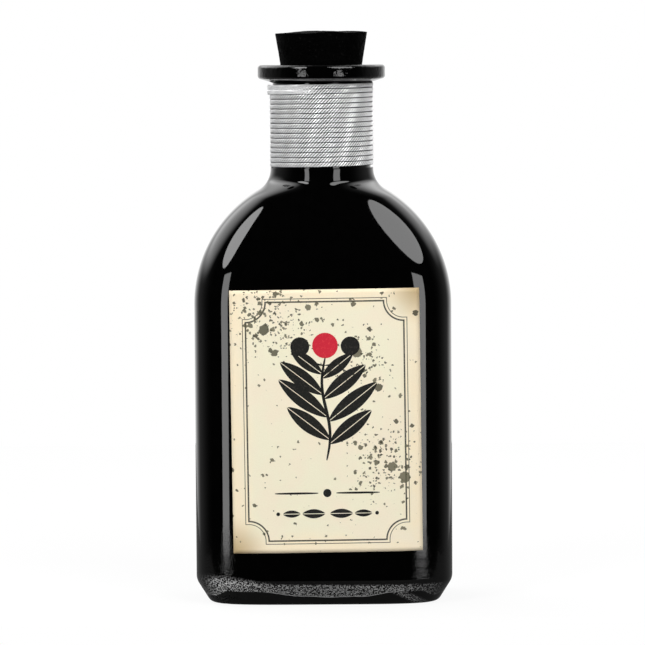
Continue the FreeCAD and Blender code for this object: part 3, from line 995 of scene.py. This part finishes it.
# %% The sprig
STEM_FOOT = Vector((0.0, -9.5))
STEM_TOP = Vector((0.0, 15.5))
STEM_SWAY = 0.9
LEAF_PAIRS = ((0.16, 13.0, 4.0), (0.38, 15.0, 4.2), (0.60, 13.0, 4.0), (0.80, 9.5, 3.2))
LEAF_ANGLE = math.radians(38)
LEAF_STAGGER = 0.04
STEM_WIDTH = 0.75
STALK_WIDTH = 0.5
STALK_FOOT = 13.6
STALK_DROP = 1.6
RED_BERRY = ((0.0, 18.4), 3.1)
BLACK_BERRIES = (((-6.1, 18.2), 2.3), ((6.1, 18.2), 2.3))


def stem(share):
    """The sprig's stem, swaying a little."""
    point = STEM_FOOT.lerp(STEM_TOP, share)
    return (point.x + STEM_SWAY * math.sin(share * 2 * math.pi), point.y)


bm = bmesh.new()
stroke(bm, stem, STEM_WIDTH)
for share, length, width in LEAF_PAIRS:
    for side in (0, 1):
        angle = LEAF_ANGLE if side == 0 else math.pi - LEAF_ANGLE
        leaf(bm, stem(share + LEAF_STAGGER * side), angle, length, width)
for middle, radius in BLACK_BERRIES:
    disc(bm, middle, radius)
    stalk_rise = middle[1] - STALK_FOOT - STALK_DROP
    stroke(bm, lambda share, end=middle[0], rise=stalk_rise: (end * share, STALK_FOOT + rise * share ** 2),
           STALK_WIDTH)
DIVIDER_HEIGHT = -17.5
LEAF_ROW_HEIGHT = DIVIDER_HEIGHT - 5.0
DIVIDER_GAP = 2.2
DIVIDER_LENGTH = 10.5
ROW_LEAVES = ((0.6, 5.5, 2.2), (6.6, 4.2, 1.7))
ROW_END = 12.0
for side in (1, -1):
    stroke(bm, lambda share, side=side: (side * (DIVIDER_GAP + DIVIDER_LENGTH * share), DIVIDER_HEIGHT),
           STALK_WIDTH)
    outwards = 0.0 if side > 0 else math.pi
    for foot, length, width in ROW_LEAVES:
        leaf(bm, (side * foot, LEAF_ROW_HEIGHT), outwards, length, width)
    disc(bm, (side * ROW_END, LEAF_ROW_HEIGHT), 0.45)
disc(bm, (0.0, DIVIDER_HEIGHT), 1.0)
label_print = make_piece(bm, "label_sprig", "bottle", front=TO_THE_FRONT)
bm = bmesh.new()
disc(bm, *RED_BERRY)
label_berry = make_piece(bm, "label_berry", "bottle", front=TO_THE_FRONT)

# %% Inks
INKS = ((label_print, "black_ink", (0.010, 0.010, 0.009, 1), (0.035, 0.033, 0.027, 1)),
        (label_berry, "red_ink", (0.58, 0.018, 0.040, 1), (0.66, 0.045, 0.060, 1)))
INK_WEAR = 2600
for piece, name, full, thin in INKS:
    piece.data.shade_flat()
    film = piece.modifiers.new("ink", "SOLIDIFY")
    film.thickness = INK_THICKNESS
    ink_finish, tree, shader = new_finish(name)
    wear = spread(tree, speckle(tree, INK_WEAR, 3.0), 0.5, 0.75)
    tree.links.new(mixed(tree, wear, full, thin), shader.inputs["Base Color"])
    tree.links.new(spread(tree, wear, 0.0, 1.0, 0.65, 0.85), shader.inputs["Roughness"])
    set_plain(shader, Specular_IOR_Level=0.2)
    piece.data.materials.append(ink_finish)
    print(name, "on", piece.name)

# %% [markdown]
# ## Studio
# The bottle stands on a white table in front of a white wall, with a dark room behind the camera. The
# wall is in the world: white where the camera looks, and for every other ray white behind the bottle
# and dark in front, which is what leaves the glossy front black between the lights. Two soft glows,
# behind on the left and on the right, light the rims of the shoulders.

# %% World
world = bpy.data.worlds.new("studio")
scene.world = world
world.use_nodes = True
tree = world.node_tree
background = tree.nodes["Background"]
ROOM_LEVEL = 0.003
DIM_WALL = 0.2
RIM_LEFT = (-121, 36, 2.8, 0.06, 0.34)
RIM_RIGHT = (136, 31, 1.6, 0.16, 0.50)
RIM_CORE = math.radians(4)
RIM_EDGE = math.radians(44)
looking = tree.nodes.new("ShaderNodeTexCoord").outputs["Generated"]
heading = add_node(tree, "ShaderNodeSeparateXYZ", {"Vector": looking}).outputs


def toward(azimuth, elevation):
    """A direction: azimuth 0 is towards the camera, positive to the right."""
    turn = math.radians(azimuth)
    rise = math.radians(elevation)
    return Vector((math.sin(turn) * math.cos(rise), -math.cos(turn) * math.cos(rise), math.sin(rise)))


def rim_glow(azimuth, elevation, level, none_below, full_above):
    """A soft round glow in one direction of the world, cut off towards the horizon."""
    near = add_node(tree, "ShaderNodeVectorMath", {0: looking, 1: toward(azimuth, elevation)},
                    operation="DOT_PRODUCT").outputs["Value"]
    glow = spread(tree, near, math.cos(RIM_EDGE), math.cos(RIM_CORE), 0.0, level)
    return sums(tree, "MULTIPLY", glow, spread(tree, heading["Z"], none_below, full_above))


behind = heading["Y"]
wall_light = sums(tree, "ADD", spread(tree, behind, -0.5, 0.5, ROOM_LEVEL, DIM_WALL),
                  spread(tree, behind, 0.5, 1.0, 0.0, 1.0 - DIM_WALL))
glows = sums(tree, "ADD", rim_glow(*RIM_LEFT), rim_glow(*RIM_RIGHT))
room = sums(tree, "ADD", wall_light, glows)
rays = tree.nodes.new("ShaderNodeLightPath").outputs
seen = mixed(tree, rays["Is Camera Ray"], room, (1.0, 1.0, 1.0, 1.0))
tree.links.new(seen, background.inputs["Color"])
print("world is set")

# %% Floor
FLOOR_WIDTH = 230 * MM
FLOOR_DEPTH = 390 * MM
FLOOR_FRONT = -45 * MM
FLOOR_GLOW = 0.88
FLOOR_MIRRORED = 0.05
bm = bmesh.new()
bmesh.ops.create_grid(bm, x_segments=1, y_segments=1, size=0.5)
bmesh.ops.scale(bm, verts=bm.verts, vec=(FLOOR_WIDTH, FLOOR_DEPTH, 1.0))
bmesh.ops.translate(bm, verts=bm.verts, vec=(0.0, FLOOR_FRONT + FLOOR_DEPTH / 2, 0.0))
mesh = bpy.data.meshes.new("floor")
bm.to_mesh(mesh)
bm.free()
floor = bpy.data.objects.new("floor", mesh)
scene.collection.objects.link(floor)

table, tree, shader = new_finish("white_table")
set_plain(shader, Roughness=0.9, Specular_IOR_Level=0.0)
shader.inputs["Base Color"].default_value = (0.1, 0.1, 0.1, 1.0)
rays = tree.nodes.new("ShaderNodeLightPath").outputs
mirrored = sums(tree, "MAXIMUM", rays["Is Glossy Ray"], rays["Is Transmission Ray"])
glow = sums(tree, "MAXIMUM", sums(tree, "MULTIPLY", rays["Is Camera Ray"], FLOOR_GLOW),
            sums(tree, "MULTIPLY", mirrored, FLOOR_MIRRORED))
shader.inputs["Emission Color"].default_value = (1.0, 1.0, 1.0, 1.0)
tree.links.new(glow, shader.inputs["Emission Strength"])
floor.data.materials.append(table)
print("floor is set")

# %% [markdown]
# Two large soft boxes stand high on either side and draw the crescents on the shoulders. Two narrow ones
# stand low and draw the upright strips beside the label. A fill on the left lights the paper evenly. It
# is hidden from the gloss, because its reflection would be a third strip that the bottle doesn't show.

# %% Soft boxes
BOX_DISTANCE = 800 * MM
SHARE_OF_RECTANGLE = {"RECTANGLE": 1.0, "ELLIPSE": math.pi / 4}


def soft_box(name, shape, side_angle, width, bottom, top, radiance, mirrored=True):
    """An upright soft box beside the camera, facing the bottle, with a given brightness."""
    lamp = bpy.data.lights.new(name, "AREA")
    lamp.shape = shape
    lamp.size = width
    lamp.size_y = top - bottom
    lamp.energy = radiance * math.pi * lamp.size * lamp.size_y * SHARE_OF_RECTANGLE[shape]
    box = bpy.data.objects.new(name, lamp)
    turn = math.radians(side_angle)
    box.location = (BOX_DISTANCE * math.sin(turn), -BOX_DISTANCE * math.cos(turn), (bottom + top) / 2)
    box.rotation_euler = (math.pi / 2, 0.0, turn)
    box.visible_camera = False
    box.visible_glossy = mirrored
    scene.collection.objects.link(box)
    print(f"{name}: {lamp.energy:.2f} W")


soft_box("soft_box_left", "ELLIPSE", side_angle=-42.5, width=385 * MM, bottom=225 * MM, top=1110 * MM,
         radiance=7.5)
soft_box("soft_box_right", "ELLIPSE", side_angle=38.6, width=780 * MM, bottom=250 * MM, top=1200 * MM,
         radiance=5.2)
soft_box("low_box_left", "RECTANGLE", side_angle=-34.1, width=133 * MM, bottom=-96 * MM, top=150 * MM,
         radiance=4.5)
soft_box("low_box_right", "RECTANGLE", side_angle=33.4, width=202 * MM, bottom=-96 * MM, top=130 * MM,
         radiance=4.2)
soft_box("fill_left", "RECTANGLE", side_angle=-40.0, width=400 * MM, bottom=-96 * MM, top=150 * MM,
         radiance=3.0, mirrored=False)
